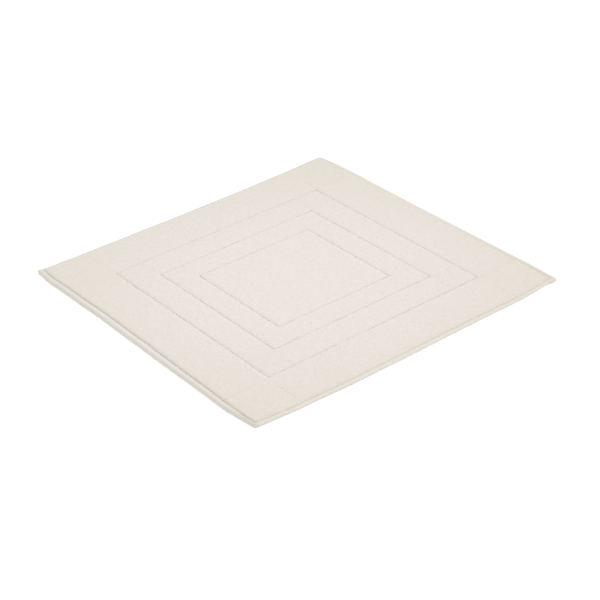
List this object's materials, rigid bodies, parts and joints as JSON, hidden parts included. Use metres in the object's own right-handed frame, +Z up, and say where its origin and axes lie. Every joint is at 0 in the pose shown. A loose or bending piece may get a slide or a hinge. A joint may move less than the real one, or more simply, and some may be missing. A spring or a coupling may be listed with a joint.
{
  "type": "bath mat",
  "caption": "Square terry bath mat with loop pile on both sides, square grooves round a plain centre and sewn hems, lying flat.",
  "frame": {"origin": "centre of the mat's footprint, on the floor it lies on", "axes": "+Z up, out of the side that is stood on; X across the mat from side hem to side hem; Y along it from end hem to end hem"},
  "size_m": [0.6, 0.6, 0.0092],
  "materials": {
    "terry_pile": "uncut cotton loop pile, cream, matt",
    "ground_weave": "plain-woven cotton ground, cream, matt",
    "hem_weave": "plain-woven cotton border, cream, matt",
    "sewing_thread": "spun sewing thread, cream",
    "label_satin": "white satin ribbon, unprinted"
  },
  "bodies": {
    "root": {"upper_pile_centre_panel": "terry_pile", "upper_pile_inner_frame": "terry_pile", "upper_pile_middle_frame": "terry_pile", "upper_pile_outer_frame": "terry_pile", "under_pile_centre_panel": "terry_pile", "under_pile_inner_frame": "terry_pile", "under_pile_middle_frame": "terry_pile", "under_pile_outer_frame": "terry_pile", "ground_cloth": "ground_weave", "hem_left": "hem_weave", "hem_front": "hem_weave", "hem_right": "hem_weave", "hem_back": "hem_weave", "needle_thread_left": "sewing_thread", "needle_thread_front": "sewing_thread", "needle_thread_right": "sewing_thread", "needle_thread_back": "sewing_thread", "bobbin_thread_left": "sewing_thread", "bobbin_thread_front": "sewing_thread", "bobbin_thread_right": "sewing_thread", "bobbin_thread_back": "sewing_thread", "care_label": "label_satin"}
  },
  "joints": []
}
